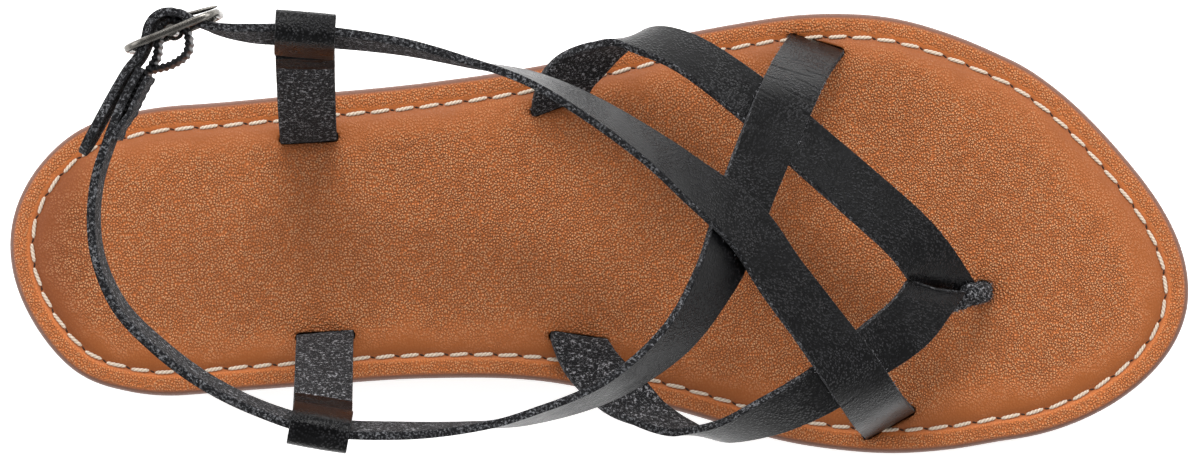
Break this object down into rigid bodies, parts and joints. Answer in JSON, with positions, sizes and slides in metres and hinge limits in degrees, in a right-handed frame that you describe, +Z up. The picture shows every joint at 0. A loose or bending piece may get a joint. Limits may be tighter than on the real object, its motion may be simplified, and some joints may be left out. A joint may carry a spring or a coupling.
{
  "type": "strappy sandal",
  "caption": "Left strappy sandal: moulded sole, padded stitched footbed, crossed thong straps and a buckled ankle strap held by side tabs.",
  "frame": {"origin": "on the floor, at the middle of the heel's flat tread", "axes": "+X towards the toe, +Y towards the foot's outer side, +Z up"},
  "size_m": [0.25, 0.0938, 0.0845],
  "materials": {
    "sole_rubber": "matt moulded rubber, dark brown",
    "footbed_leather": "tan, pebbled grain, satin, with a smooth edge band and cream stitches",
    "strap_leather": "black, smooth and satin outside, suede inside",
    "elastic": "black ribbed elastic",
    "buckle_metal": "antique nickel"
  },
  "bodies": {
    "root": {"outsole": "sole_rubber", "footbed": "footbed_leather", "upper": "strap_leather", "keeper_outer": "strap_leather", "keeper_inner": "strap_leather", "elastic_loop": "elastic", "elastic_cover": "strap_leather", "buckle_frame": "buckle_metal", "buckle_prong": "buckle_metal"}
  },
  "joints": []
}
